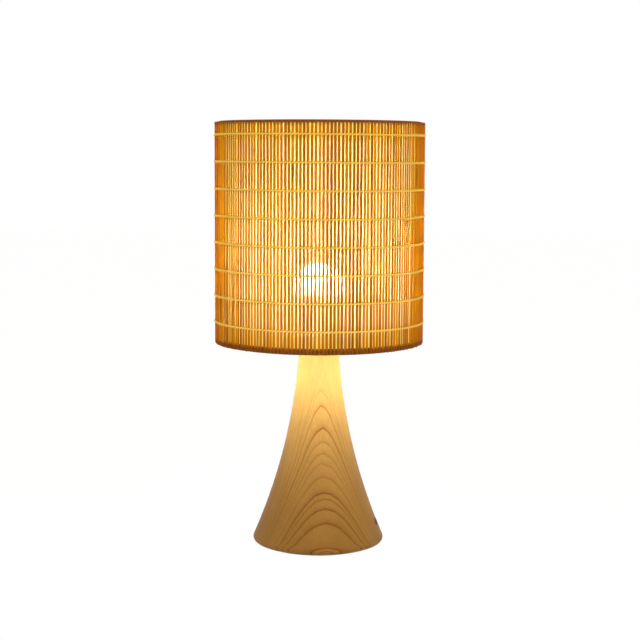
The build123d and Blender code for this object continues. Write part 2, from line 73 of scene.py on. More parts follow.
# Sticks of the shade
STICK_COUNT = 180
STICK_WIDTH = 2.38 * MM
STICK_WIDTH_SPREAD = 0.13 * MM
STICK_THICKNESS = 1.05 * MM
STICK_THICKNESS_SPREAD = 0.07 * MM
STICK_CROWN = 0.16
STICK_SQUARENESS = 0.62
STICK_SIDES = 8
STICK_SPANS = 30
STICK_SHIFT = 0.17 * MM
STICK_SLANT = 0.28 * MM
STICK_WANDER = 0.05 * MM
STICK_WAVES = 2
STICK_WAVE_LENGTH = (60 * MM, 150 * MM)
STICK_SET_BACK = 0.18 * MM
SKIN_DEPTH = 0.4
SKIN_EDGE = (0.55, 0.95)

# Cut ends of the sticks: how far they vary and are rounded, and how far from each end painted shade darkens
# them, where the hoops behind block the light
STICK_END_SPREAD = 0.5 * MM
STICK_END_ROUND = 1.1 * MM
STICK_END_LEVELS = (0.35, 1.0)
STICK_END_WIDTH = 0.8
STICK_END_THICKNESS = 0.45
STICK_END_INSET = 0.5
STICK_DARK_TOP = 4.0 * MM
STICK_DARK_BOTTOM = 5.5 * MM
STICK_DARK_FADE = 1.8 * MM

# Knots and dark streaks of the sticks
KNOT_SHARE = 0.3
KNOT_SWELL = 0.1
KNOT_DARK = 0.3
KNOT_HALF_LENGTH = 1.3 * MM
KNOT_LEVELS = 2
KNOT_END_GAP = 25 * MM
STREAK_SHARE = 0.07
STREAK_LENGTH = (9 * MM, 26 * MM)
STREAK_DARK = 0.8
STREAK_FAR_SIDE = 0.35

# Cotton rows
ROW_COUNT = 8
YARN_HEIGHT = 1.4 * MM
YARN_THICKNESS = 0.7 * MM
YARN_SIDES = 6
YARN_STEPS = 6
YARN_CROSS_RISE = 0.55 * MM
YARN_SQUARENESS = 1.9
YARN_STRANDS = 2
YARN_PLIES = 2
YARN_PLY_LENGTH = 1.1 * MM

# Cloth lining
LINING_SIDES = 360
LINING_LEVELS = 12
LINING_SEAM = 9 * MM
LINING_DROP = 0.3 * MM
LINING_PITCH = 0.8 * MM

# Cloth hems
HEM_THICKNESS = 0.6 * MM
HEM_ROUND_STEPS = 14
HEM_SIDES = 240
HEM_WRAP = math.radians(235)
HEM_PITCH = 1.1 * MM

# Painted shade: brown bands on the edges of the lining and the hems, standing in for the shadow of the hoops
# behind them
LINING_SHADE_BOTTOM = 5.5 * MM
LINING_SHADE_TOP = 1.4 * MM
HEM_SHADE_EDGE = 2.2 * MM
HOOP_SHADE_FADE = 0.6 * MM
HOOP_SHADE_DARK = (146, 84, 35)
HOOP_SHADE_LIGHT = (172, 106, 48)

# Felt foot, with its rim as insets and heights in shares of the thickness
FELT_SIDES = 128
FELT_RINGS = 6
FELT_RIM = ((0.4, 0.0), (0.0, 0.3), (0.0, 0.7), (0.3, 1.0))
FELT_RIM_FROM = 0.9
FELT_RIM_WAVE = 0.12 * MM
FELT_WAVES = 5
FELT_WAVE_COUNTS = (9, 40)

# Wood of the base: where the pith lies, and how the grain leans, waves and swells at the foot
PITH_DISTANCE = 900 * MM
PITH_TURN = math.radians(7)
GRAIN_LEAN = 0.06
GRAIN_SLOW_WAVE = 0.7 * MM
GRAIN_FINE_WAVE = 0.4 * MM
FOOT_SWELL_HEIGHT = 10 * MM
FOOT_SWELL = 1.1
FOOT_SWELL_ASIDE = 0.35
FOOT_SWELL_REACH = 16 * MM
# How high the tip of each dark growth ring stands on the front of the base, and how dark it is
RING_TIPS = (
    (183.0 * MM, 0.35),
    (157.5 * MM, 0.40),
    (140.5 * MM, 1.00),
    (117.0 * MM, 1.00),
    (104.0 * MM, 0.55),
    (93.0 * MM, 0.60),
    (83.5 * MM, 0.45),
    (71.0 * MM, 0.55),
    (56.5 * MM, 1.00),
    (51.0 * MM, 0.80),
    (42.0 * MM, 1.00),
    (29.5 * MM, 0.85),
    (8.3 * MM, 1.00),
)
# How dark a ring is, from its inner edge at 0 to its outer edge at 1
LATE_WOOD = ((0.0, 0.6), (0.06, 0.04), (0.5, 0.08), (0.84, 0.36), (0.95, 1.0), (1.0, 0.9))
# Rings at the sides and the back, which grow pale towards the neck
SIDE_RING_WIDTH = 3.5 * MM
SIDE_RING_DARK = (0.5, 2.1)
SIDE_RING_DRIFT = 0.1
SIDE_RING_DRIFT_LENGTH = 40 * MM
SIDE_RING_FADE = (70 * MM, 165 * MM)
SIDE_RING_PALE = 0.12

# Plywood of the cover, as one dark and one light veneer together
VENEER_PAIR = 2.6 * MM

# Noise, in waves per metre along each axis, and where most of its values lie
BAMBOO_FIBRE = (1500, 1500, 22)
BAMBOO_CLOUD = (90, 90, 14)
COTTON_FUZZ = (2600, 2600, 2600)
LINEN_SLUB = (700, 700, 120)
LINING_SLUB = (420, 420, 60)
GRAIN_SLOW = (16, 16, 9)
GRAIN_FINE = (150, 150, 40)
WOOD_FIBRE = (900, 900, 14)
WOOD_CLOUD = (30, 30, 8)
PLYWOOD_GRAIN = (30, 700, 700)
FELT_HAIR = (1400, 1400, 1400)
FELT_MAT = (220, 220, 220)
MOULD_FLOW = (60, 60, 60)
METAL_BRUSH = (180, 180, 2400)
METAL_STAIN = (120, 120, 120)
OPAL_HAZE = (160, 160, 160)
CIRCUIT_GRIT = (900, 900, 900)
CIRCUIT_TRACKS = (420, 420, 420)
NOISE_SPAN = (0.3, 0.7)

# Share of each shade material that lets light through
BAMBOO_THROUGH = 0.42
COTTON_THROUGH = 0.2
LINING_THROUGH = 0.35
HEM_THROUGH = 0.95
# The hems' edges under painted shade let less light through
HEM_SHADE_THROUGH = 0.3

# Moulded and painted finishes: dark and light colour, roughness, grain in waves per metre, relief
MOULDED = {
    "wire": ((222, 208, 178), (238, 228, 204), 0.4, 700, 0.3),
    "brown_plastic": ((95, 60, 25), (117, 78, 36), 0.42, 900, 0.12),
    "porcelain": ((228, 223, 212), (241, 238, 230), 0.22, 500, 0.05),
    "white_plastic": ((224, 221, 213), (238, 236, 229), 0.4, 900, 0.12),
    "brown_insulation": ((86, 46, 24), (112, 64, 36), 0.45, 900, 0.12),
    "blue_insulation": ((28, 72, 150), (48, 98, 182), 0.45, 900, 0.12),
    "bulb_white": ((228, 225, 217), (242, 239, 232), 0.26, 600, 0.04),
    "vitrite": ((14, 14, 17), (34, 34, 40), 0.12, 300, 0.03),
    "led_yellow": ((226, 176, 40), (248, 214, 92), 0.25, 1500, 0.12),
}
# Metals: dark and light colour, roughness, noise of the brushing
METALS = {
    "plated_steel": ((176, 174, 166), (208, 206, 198), 0.32, METAL_BRUSH),
    "brass": ((188, 146, 66), (224, 186, 104), 0.28, METAL_BRUSH),
    "nickel": ((186, 181, 170), (222, 218, 208), 0.2, METAL_BRUSH),
    "board_metal": ((198, 200, 202), (226, 228, 230), 0.4, (900, 40, 900)),
}
# Roughness of the dark and the light spots, added to the finish's own
MOULDED_GLOSS = (-0.07, 0.07)
METAL_GLOSS = (0.1, -0.06)

# Light
NECK_LIGHTS = 8
NECK_WATTS = 0.056
NECK_COLOUR = (0.76, 1.0, 1.62)
NECK_LIGHT_SIZE = 24 * MM
NECK_LIGHT_REACH = 84 * MM
NECK_LIGHT_RISE = 28 * MM
NECK_LIGHT_AIM = 75 * MM
NECK_LIGHT_SPREAD = math.radians(75)
DOME_GLOW = 108.0
ROOM_LEVEL = 0.56
ROOM_COLOUR = (1.0, 0.93, 0.78)
SOFT_BOX_PLACES = {"key_light": (-1.1, -1.5, 1.5), "fill_light": (1.4, -1.2, 0.9)}
SOFT_BOX_SIZE = 1.2
SOFT_BOX_WATTS = 11.2

# Floor, just under the foot
FLOOR_HALF_SIZE = 6.0
FLOOR_DROP = 0.1 * MM
FLOOR_PAPER = 0.8
FLOOR_WHITE = 1.03
FLOOR_WHITE_SHARE = 0.94

# Camera, placed where the photograph was taken
CAMERA_PLACE = Vector((0.0002, -1.428, 0.3751))
CAMERA_PITCH = math.radians(6.31)
CAMERA_ROLL = math.radians(-0.27)
CAMERA_LENS = 83.9
CAMERA_SENSOR = 36.0


def tint(red, green, blue):
    """A colour given as 0 to 255 screen values, in linear light by the standard sRGB curve."""
    def linear(value):
        share = value / 255
        return share / 12.92 if share <= 0.04045 else ((share + 0.055) / 1.055) ** 2.4
    return (linear(red), linear(green), linear(blue), 1.0)


def grey(level):
    return (level, level, level, 1.0)


class Shader:
    """The nodes of one material or of the world. Most methods add a node and return its main output."""

    def __init__(self, owner):
        owner.use_nodes = True
        self.owner = owner
        self.tree = owner.node_tree
        self.tree.nodes.clear()

    def add(self, kind, sockets=None, **settings):
        made = self.tree.nodes.new("ShaderNode" + kind)
        for key, value in settings.items():
            setattr(made, key, value)
        for key, value in (sockets or {}).items():
            self.feed(made.inputs[key], value)
        return made

    def feed(self, socket, value):
        if isinstance(value, bpy.types.NodeSocket):
            self.tree.links.new(value, socket)
        else:
            socket.default_value = value

    def place(self):
        return self.add("TexCoord").outputs["Object"]

    def flat_place(self):
        return self.add("TexCoord").outputs["UV"]

    def value(self, name):
        return self.add("Attribute", attribute_name=name).outputs["Fac"]

    def vector(self, operation, a, b):
        return self.add("VectorMath", {0: a, 1: b}, operation=operation).outputs["Vector"]

    def length(self, a):
        return self.add("VectorMath", {0: a}, operation="LENGTH").outputs["Value"]

    def dot(self, a, b):
        return self.add("VectorMath", {0: a, 1: b}, operation="DOT_PRODUCT").outputs["Value"]

    def parts(self, a):
        return self.add("SeparateXYZ", {0: a}).outputs

    def number(self, operation, a, b=0.0):
        return self.add("Math", {0: a, 1: b}, operation=operation).outputs[0]

    def weigh(self, *terms):
        """The sum of values, each times its weight."""
        parts = [self.number("MULTIPLY", value, weight) for value, weight in terms]
        total = parts[0]
        for part in parts[1:]:
            total = self.number("ADD", total, part)
        return total

    def noise(self, where, stretch, detail=3.0, roughness=0.55):
        spread = self.vector("MULTIPLY", where, stretch)
        sockets = {"Vector": spread, "Scale": 1.0, "Detail": detail, "Roughness": roughness}
        return self.add("TexNoise", sockets).outputs[0]

    def remap(self, value, old, new=(0.0, 1.0)):
        return self.add("MapRange", {0: value, 1: old[0], 2: old[1], 3: new[0], 4: new[1]}).outputs[0]

    def ramp(self, factor, *stops):
        made = self.add("ValToRGB", {0: factor})
        marks = made.color_ramp.elements
        while len(marks) < len(stops):
            marks.new(1.0)
        for mark, (position, colour) in zip(marks, stops):
            mark.position = position
            mark.color = colour
        return made.outputs[0]

    def mix(self, factor, a, b):
        made = self.add("Mix", data_type="RGBA")
        self.feed(made.inputs[0], factor)
        self.feed(made.inputs[6], a)
        self.feed(made.inputs[7], b)
        return made.outputs[2]

    def bump(self, height, strength, distance):
        return self.add("Bump", {"Height": height, "Strength": strength, "Distance": distance}).outputs[0]

    def surface(self, **sockets):
        names = {key.replace("_", " ").title().replace("Ior", "IOR"): v for key, v in sockets.items()}
        return self.add("BsdfPrincipled", names).outputs[0]

    def translucent(self, colour, normal):
        return self.add("BsdfTranslucent", {"Color": colour, "Normal": normal}).outputs[0]

    def blend(self, factor, a, b):
        return self.add("MixShader", {0: factor, 1: a, 2: b}).outputs[0]

    def done(self, shader):
        """Ends a material and returns it."""
        output = self.add("OutputMaterial", {"Surface": shader})
        output.is_active_output = True
        return self.owner


# Materials, where s is the shader of the material being made

def new_material(name):
    return Shader(bpy.data.materials.new(name))


def make_bamboo():
    s = new_material("bamboo")
    place = s.place()
    fibre = s.noise(place, BAMBOO_FIBRE, detail=4.0)
    cloud = s.noise(place, BAMBOO_CLOUD, detail=2.0)
    tone = s.weigh((s.value("tone"), 0.55), (fibre, 0.35), (cloud, 0.35))
    skin = s.ramp(tone, (0.3, tint(145, 70, 6)), (0.62, tint(178, 93, 13)), (0.95, tint(204, 122, 25)))
    inside = s.ramp(tone, (0.25, tint(228, 212, 30)), (0.95, tint(246, 240, 54)))
    colour = s.mix(s.remap(s.value("skin"), SKIN_EDGE), inside, skin)
    streak = s.number("MULTIPLY", s.value("streak"), s.remap(fibre, (0.3, 0.6), (0.55, 1.0)))
    colour = s.mix(streak, colour, tint(104, 54, 16))
    # Painted shade: the stick ends turn brown and their glow dark, standing in for the hoops' shadow
    painted_end_shade = s.value("painted_end_shade")
    colour = s.mix(painted_end_shade, colour, tint(190, 118, 54))
    glow = s.ramp(tone, (0.3, tint(210, 148, 20)), (0.95, tint(240, 188, 44)))
    glow = s.mix(s.number("MAXIMUM", streak, painted_end_shade), glow, tint(110, 50, 10))
    relief = s.bump(fibre, strength=0.35, distance=0.12 * MM)
    gloss = s.remap(fibre, NOISE_SPAN, (0.36, 0.56))
    front = s.surface(base_color=colour, roughness=gloss, normal=relief, specular_ior_level=0.15,
                      transmission_weight=0.18, ior=1.05)
    return s.done(s.blend(BAMBOO_THROUGH, front, s.translucent(glow, relief)))


def make_cotton():
    s = new_material("cotton")
    along = s.parts(s.flat_place())
    ply = s.weigh((along["X"], TURN / YARN_PLY_LENGTH), (along["Y"], TURN * YARN_PLIES))
    twist = s.remap(s.number("SINE", ply), (-1.0, 1.0))
    fuzz = s.noise(s.place(), COTTON_FUZZ)
    shade = s.weigh((twist, 0.6), (fuzz, 0.4))
    colour = s.ramp(shade, (0.1, tint(255, 212, 58)), (0.6, tint(255, 228, 84)), (0.95, tint(255, 241, 118)))
    lit = s.ramp(shade, (0.1, tint(250, 234, 132)), (0.95, tint(255, 250, 184)))
    relief = s.bump(shade, strength=0.35, distance=0.15 * MM)
    front = s.surface(base_color=colour, roughness=0.85, normal=relief, sheen_weight=0.3)
    return s.done(s.blend(COTTON_THROUGH, front, s.translucent(lit, relief)))


def weave(s, flat, pitch, slubs, cross_share):
    """A cloth's shade, from threads that cross at a pitch and from slubs in them."""
    warp = s.number("SINE", s.number("MULTIPLY", flat["X"], TURN / pitch))
    weft = s.number("SINE", s.number("MULTIPLY", flat["Y"], TURN / pitch))
    cross = s.remap(s.number("MULTIPLY", warp, weft), (-1.0, 1.0))
    slub = s.noise(s.place(), slubs)
    return s.weigh((cross, cross_share), (slub, 1 - cross_share))


def painted_shade_edges(s, height, low, high):
    """1 on a cloth's edges that carry painted shade, below one height and above another, and 0 between them.
    """
    below = s.remap(height, (low, low + HOOP_SHADE_FADE), (1.0, 0.0))
    above = s.remap(height, (high - HOOP_SHADE_FADE, high))
    return s.number("MAXIMUM", below, above)


# The brown of the painted shade that the hoops cast on the cloth edges
def painted_shade_colour(s, shade):
    return s.ramp(shade, (0.2, tint(*HOOP_SHADE_DARK)), (0.8, tint(*HOOP_SHADE_LIGHT)))


def make_linen():
    s = new_material("linen")
    shade = weave(s, s.parts(s.flat_place()), HEM_PITCH, LINEN_SLUB, cross_share=0.5)
    height = s.parts(s.place())["Z"]
    # Painted shade: near the shade's rims the hem turns brown and lets less light through, standing in for
    # the hoops' shadow
    painted_shade_mask = painted_shade_edges(s, height, SHADE_LOW.z + HEM_SHADE_EDGE, SHADE_HIGH.z - HEM_SHADE_EDGE)
    cloth = s.ramp(shade, (0.15, tint(248, 240, 186)), (0.55, tint(253, 249, 206)),
                   (0.9, tint(255, 252, 224)))
    colour = s.mix(painted_shade_mask, cloth, painted_shade_colour(s, shade))
    relief = s.bump(shade, strength=0.55, distance=0.2 * MM)
    front = s.surface(base_color=colour, roughness=0.9, normal=relief, sheen_weight=0.2)
    through = s.remap(painted_shade_mask, (0.0, 1.0), (HEM_THROUGH, HEM_SHADE_THROUGH))
    return s.done(s.blend(through, front, s.translucent(colour, relief)))


def make_lining_cloth():
    s = new_material("lining")
    flat = s.parts(s.flat_place())
    shade = weave(s, flat, LINING_PITCH, LINING_SLUB, cross_share=0.4)
    low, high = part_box("shade_lining")
    # Painted shade: brown bands at the lining's bottom and top edges, on its face and in the light it lets
    # through, stand in for the hoops' shadow
    painted_shade_mask = painted_shade_edges(s, flat["Y"], LINING_SHADE_BOTTOM, high.z - low.z - LINING_SHADE_TOP)
    painted_shade_tint = painted_shade_colour(s, shade)
    cloth = s.ramp(shade, (0.2, tint(244, 238, 182)), (0.8, tint(252, 248, 210)))
    lit = s.ramp(shade, (0.2, tint(241, 244, 194)), (0.8, tint(249, 252, 216)))
    relief = s.bump(shade, strength=0.3, distance=0.1 * MM)
    front = s.surface(base_color=s.mix(painted_shade_mask, cloth, painted_shade_tint), roughness=0.2, normal=relief,
                      specular_ior_level=0.1, transmission_weight=0.2, ior=1.04)
    return s.done(s.blend(LINING_THROUGH, front, s.translucent(s.mix(painted_shade_mask, lit, painted_shade_tint), relief)))


def front_reaches(node, heights):
    """How far from the axis the front of a CAD node lies at each height."""
    mesh = nodes[node].data
    corners = [point.co for point in mesh.vertices]
    skin = BVHTree.FromPolygons(corners, [face.vertices for face in mesh.polygons])
    hits = [skin.ray_cast(Vector((0, -1, height)), Vector((0, 1, 0))) for height in heights]
    return [-place.y for place, _, _, _ in hits]


def ring_depths():
    """The grain depth of each ring of RING_TIPS, counted from the lamp's axis."""
    depths = []
    reaches = front_reaches("base_body", [tip for tip, _ in RING_TIPS])
    for reach, (tip, _) in zip(reaches, RING_TIPS):
        depths.append(reach + GRAIN_LEAN * tip + FOOT_SWELL * max(FOOT_SWELL_HEIGHT - tip, 0.0))
    return depths


def grain_depth(s, place, height):
    """How far a point lies from the pith, with the grain's lean and waves and its swell at the foot."""
    pith = (-PITH_DISTANCE * math.sin(PITH_TURN), PITH_DISTANCE * math.cos(PITH_TURN), 0.0)
    across = s.vector("MULTIPLY", s.vector("SUBTRACT", place, pith), (1.0, 1.0, 0.0))
    slow = s.remap(s.noise(place, GRAIN_SLOW, detail=1.0), (0.0, 1.0), (-GRAIN_SLOW_WAVE, GRAIN_SLOW_WAVE))
    fine = s.remap(s.noise(place, GRAIN_FINE, detail=2.0), (0.0, 1.0), (-GRAIN_FINE_WAVE, GRAIN_FINE_WAVE))
    aside = s.number("ABSOLUTE", s.dot(place, (math.cos(PITH_TURN), math.sin(PITH_TURN), 0.0)))
    foot = s.number("MAXIMUM", s.number("SUBTRACT", FOOT_SWELL_HEIGHT, height), 0.0)
    rate = s.remap(aside, (0.0, FOOT_SWELL_REACH), (FOOT_SWELL, FOOT_SWELL_ASIDE))
    lean = s.number("ADD", s.number("MULTIPLY", height, GRAIN_LEAN), s.number("MULTIPLY", foot, rate))
    return s.number("ADD", s.number("ADD", s.length(across), lean), s.number("ADD", slow, fine))


def growth_rings(s, place):
    """How dark the rings are at a point: RING_TIPS in front, and uneven rings at the sides and back."""
    height = s.parts(place)["Z"]
    depth = grain_depth(s, place, height)
    depths = ring_depths()
    first, last = depths[0], depths[-1]
    count = len(depths) - 1
    numbers = []
    darks = []
    for number, (ring_depth, (_, dark)) in enumerate(zip(depths, RING_TIPS)):
        where = (ring_depth - first) / (last - first)
        numbers.append((where, grey(number / count)))
        darks.append((where, grey(dark)))
    along = s.remap(depth, (PITH_DISTANCE + first, PITH_DISTANCE + last))
    front = s.number("MULTIPLY", s.ramp(along, *numbers), count)
    inner = s.number("MINIMUM", s.number("SUBTRACT", depth, PITH_DISTANCE + first), 0.0)
    outer = s.number("MAXIMUM", s.number("SUBTRACT", depth, PITH_DISTANCE + last), 0.0)
    beyond = s.number("DIVIDE", s.number("ADD", inner, outer), SIDE_RING_WIDTH)
    drift_place = s.number("DIVIDE", depth, SIDE_RING_DRIFT_LENGTH)
    drift = s.add("TexNoise", {"W": drift_place, "Scale": 1.0}, noise_dimensions="1D").outputs[0]
    uneven = s.remap(drift, (0.0, 1.0), (1 - SIDE_RING_DRIFT, 1 + SIDE_RING_DRIFT))
    ring = s.number("ADD", front, s.number("MULTIPLY", beyond, uneven))
    late = s.ramp(s.number("FRACT", ring), *((where, grey(dark)) for where, dark in LATE_WOOD))
    year = s.add("TexWhiteNoise", {"W": s.number("FLOOR", ring)}, noise_dimensions="1D").outputs["Value"]
    side_dark = s.number("MULTIPLY", s.remap(year, (0.0, 1.0), SIDE_RING_DARK),
                         s.remap(height, SIDE_RING_FADE, (1.0, SIDE_RING_PALE)))
    at_side = s.number("GREATER_THAN", s.number("ADD", s.number("ABSOLUTE", inner), outer), 0.0)
    return s.number("MULTIPLY", late, s.mix(at_side, s.ramp(along, *darks), side_dark))


def make_softwood():
    s = new_material("softwood")
    place = s.place()
    late = growth_rings(s, place)
    fibre = s.noise(place, WOOD_FIBRE, detail=4.0, roughness=0.6)
    cloud = s.noise(place, WOOD_CLOUD, detail=2.0)
    tone = s.weigh((fibre, 0.6), (cloud, 0.4))
    pale = s.ramp(tone, (NOISE_SPAN[0], tint(129, 90, 36)), (NOISE_SPAN[1], tint(150, 107, 45)))
    colour = s.mix(late, pale, tint(110, 58, 15))
    relief = s.bump(s.weigh((fibre, 0.5), (late, 1.0)), strength=0.12, distance=0.1 * MM)
    gloss = s.remap(fibre, NOISE_SPAN, (0.48, 0.6))
    return s.done(s.surface(base_color=colour, roughness=gloss, normal=relief, specular_ior_level=0.12))


def make_plywood():
    s = new_material("plywood")
    place = s.place()
    grain = s.noise(place, PLYWOOD_GRAIN, detail=4.0)
    layer = s.number("MULTIPLY", s.parts(place)["Z"], TURN / VENEER_PAIR)
    veneer = s.remap(s.number("SINE", layer), (-1.0, 1.0))
    shade = s.weigh((grain, 0.7), (veneer, 0.3))
    colour = s.ramp(shade, (0.2, tint(170, 126, 76)), (0.6, tint(208, 172, 120)), (0.9, tint(222, 190, 142)))
    relief = s.bump(shade, strength=0.2, distance=0.1 * MM)
    return s.done(s.surface(base_color=colour, roughness=0.62, normal=relief))


def make_felt():
    s = new_material("felt")
    place = s.place()
    hair = s.noise(place, FELT_HAIR, detail=6.0, roughness=0.7)
    mat = s.noise(place, FELT_MAT)
    shade = s.weigh((hair, 0.6), (mat, 0.4))
    colour = s.ramp(shade, (0.3, tint(62, 48, 36)), (0.55, tint(96, 78, 60)), (0.75, tint(132, 112, 90)))
    relief = s.bump(shade, strength=0.8, distance=0.3 * MM)
    return s.done(s.surface(base_color=colour, roughness=0.95, normal=relief, sheen_weight=0.5))


def make_moulded(name, dark, light, roughness, grain, relief):
    s = new_material(name)
    place = s.place()
    grit = s.noise(place, (grain, grain, grain), detail=4.0)
    flow = s.noise(place, MOULD_FLOW, detail=2.0)
    shade = s.weigh((grit, 0.45), (flow, 0.55))
    colour = s.ramp(shade, (NOISE_SPAN[0], tint(*dark)), (NOISE_SPAN[1], tint(*light)))
    gloss = s.remap(shade, NOISE_SPAN, [roughness + more for more in MOULDED_GLOSS])
    bumps = s.bump(grit, strength=relief, distance=0.08 * MM)
    return s.done(s.surface(base_color=colour, roughness=gloss, normal=bumps))


def make_metal(name, dark, light, roughness, stretch):
    s = new_material(name)
    place = s.place()
    brushed = s.noise(place, stretch, detail=4.0)
    stain = s.noise(place, METAL_STAIN)
    shade = s.weigh((brushed, 0.5), (stain, 0.5))
    colour = s.ramp(shade, (NOISE_SPAN[0], tint(*dark)), (NOISE_SPAN[1], tint(*light)))
    gloss = s.remap(shade, NOISE_SPAN, [roughness + more for more in METAL_GLOSS])
    relief = s.bump(brushed, strength=0.1, distance=0.05 * MM)
    return s.done(s.surface(base_color=colour, roughness=gloss, metallic=1.0, normal=relief))


def make_opal():
    s = new_material("opal")
    place = s.place()
    low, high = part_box("bulb_diffuser")
    rise = s.remap(s.parts(place)["Z"], (low.z, high.z))
    level = s.weigh((rise, 1.0), (s.noise(place, OPAL_HAZE), 0.2))
    colour = s.ramp(level, (0.0, tint(252, 236, 206)), (1.0, tint(255, 248, 232)))
    glow = s.ramp(level, (0.0, tint(104, 88, 64)), (0.3, tint(196, 180, 148)), (0.65, tint(255, 247, 228)))
    return s.done(s.surface(base_color=colour, roughness=0.35, emission_color=glow,
                            emission_strength=DOME_GLOW))


def make_circuit():
    s = new_material("circuit")
    place = s.place()
    tracks = s.add("TexBrick", {"Vector": s.vector("MULTIPLY", place, CIRCUIT_TRACKS), "Scale": 1.0,
                                "Color1": tint(30, 104, 62), "Color2": tint(24, 88, 52),
                                "Mortar": tint(60, 140, 84), "Mortar Size": 0.06}).outputs["Color"]
    grit = s.noise(place, CIRCUIT_GRIT)
    colour = s.mix(s.number("MULTIPLY", grit, 0.4), tracks, tint(18, 66, 40))
    relief = s.bump(grit, strength=0.1, distance=0.05 * MM)
    return s.done(s.surface(base_color=colour, roughness=0.42, normal=relief))


def make_materials():
    """A material for each slot of the record."""
    made = {
        "bamboo": make_bamboo(),
        "cotton": make_cotton(),
        "linen": make_linen(),
        "lining": make_lining_cloth(),
        "softwood": make_softwood(),
        "plywood": make_plywood(),
        "felt": make_felt(),
        "opal": make_opal(),
        "circuit": make_circuit(),
    }
    for name, finish in MOULDED.items():
        made[name] = make_moulded(name, *finish)
    for name, finish in METALS.items():
        made[name] = make_metal(name, *finish)
    return made


# Mesh helpers

def mesh_piece(name, points, faces, slot, body):
    """A smooth mesh in the CAD frame that rides on a body and wears one slot's material."""
    mesh = bpy.data.meshes.new(name)
    mesh.from_pydata(points, [], faces)
    mesh.polygons.foreach_set("use_smooth", [True] * len(mesh.polygons))
    mesh.update()
    piece = bpy.data.objects.new(name, mesh)
    bpy.context.scene.collection.objects.link(piece)
    mesh.materials.append(materials[slot])
    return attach(piece, body)


def add_values(piece, name, values):
    """Keeps one number per point, for the material to read."""
    held = piece.data.attributes.new(name, "FLOAT", "POINT")
    held.data.foreach_set("value", values)


def add_flat_map(piece, flat):
    """Keeps the flat coordinates of each corner of each face."""
    layer = piece.data.uv_layers.new(name="flat")
    layer.data.foreach_set("uv", [number for pair in flat for number in pair])


def polar(radius, angle, height):
    return (radius * math.cos(angle), radius * math.sin(angle), height)


# Shade: bamboo sticks

class Stick:
    """One split stick: where it stands, how it leans and how wide it is."""

    def __init__(self, number, draw):
        self.angle = TURN * number / STICK_COUNT
        self.shift = draw.uniform(-STICK_SHIFT, STICK_SHIFT)
        self.slant = draw.uniform(-STICK_SLANT, STICK_SLANT)
        self.waves = [(draw.uniform(*STICK_WAVE_LENGTH), draw.uniform(0, TURN)) for _ in range(STICK_WAVES)]
        self.width = STICK_WIDTH + draw.uniform(-STICK_WIDTH_SPREAD, STICK_WIDTH_SPREAD)
        self.thickness = STICK_THICKNESS + draw.uniform(-STICK_THICKNESS_SPREAD, STICK_THICKNESS_SPREAD)
        self.set_back = draw.uniform(0, STICK_SET_BACK)
        self.bottom = SHADE_LOW.z + draw.uniform(0, STICK_END_SPREAD)
        self.top = SHADE_HIGH.z - draw.uniform(0, STICK_END_SPREAD)
        self.tone = draw.random()
        self.knots = []
        if draw.random() < KNOT_SHARE:
            self.knots.append(draw.uniform(self.bottom + KNOT_END_GAP, self.top - KNOT_END_GAP))
        self.streak = None
        if draw.random() < STREAK_SHARE:
            reach = draw.uniform(*STREAK_LENGTH)
            self.streak = (draw.uniform(self.bottom + reach, self.top - reach), reach)

    def sideways(self, height):
        middle = (self.bottom + self.top) / 2
        lean = self.slant * (height - middle) / (self.top - middle)
        sway = sum(STICK_WANDER * math.sin(TURN * height / long + start) for long, start in self.waves)
        return self.shift + lean + sway

    def angle_at(self, height):
        return self.angle + self.sideways(height) / SHADE_RADIUS

    def heights(self):
        """The levels of the mesh: even spans, and more at the ends and the knots."""
        span = (self.top - self.bottom) / STICK_SPANS
        levels = [self.bottom + span * step for step in range(STICK_SPANS + 1)]
        rounds = [share * STICK_END_ROUND for share in STICK_END_LEVELS]
        dark = STICK_DARK_BOTTOM
        levels += [self.bottom + reach for reach in (*rounds, dark - STICK_DARK_FADE, dark)]
        levels += [self.top - reach for reach in (*rounds, STICK_DARK_TOP)]
        for knot in self.knots:
            levels += [knot + step * KNOT_HALF_LENGTH for step in range(-KNOT_LEVELS, KNOT_LEVELS + 1)]
        return sorted(levels)

    def end_share(self, height):
        """0 at a cut end, 1 from the end's rounding inwards."""
        reach = min(height - self.bottom, self.top - height) / STICK_END_ROUND
        return math.sqrt(max(0.0, 1 - (1 - min(reach, 1.0)) ** 2))

    def knot_share(self, height):
        """1 at the middle of a knot, falling to 0 beside it."""
        return sum(math.exp(-((height - knot) / KNOT_HALF_LENGTH) ** 2) for knot in self.knots)

    def painted_end_shade_share(self, height):
        """0 on the plain stick, rising to 1 on the ends: painted shade where the hoops behind the ends keep
        the lamp's light from them.
        """
        low = (self.bottom + STICK_DARK_BOTTOM - height) / STICK_DARK_FADE
        high = 1 - (self.top - height) / STICK_DARK_TOP
        return min(1.0, max(low, high, 0.0))

    def streak_share(self, height):
        """1 at the middle of a dark streak, falling to 0 at its ends."""
        if self.streak is None:
            return 0.0
        middle, reach = self.streak
        return max(0.0, 1 - ((height - middle) / reach) ** 2)


def stick_section():
    """Corner places round a rounded rectangle, as shares of half the width and of the thickness."""
    corners = []
    for step in range(STICK_SIDES):
        angle = TURN * (step + 0.5) / STICK_SIDES
        across = math.copysign(abs(math.cos(angle)) ** STICK_SQUARENESS, math.cos(angle))
        out = math.copysign(abs(math.sin(angle)) ** STICK_SQUARENESS, math.sin(angle))
        crown = STICK_CROWN * (1 - across ** 2) if out > 0 else 0.0
        corners.append((across, (out - 1) / 2 * (1 - STICK_CROWN) - STICK_CROWN + crown))
    return corners


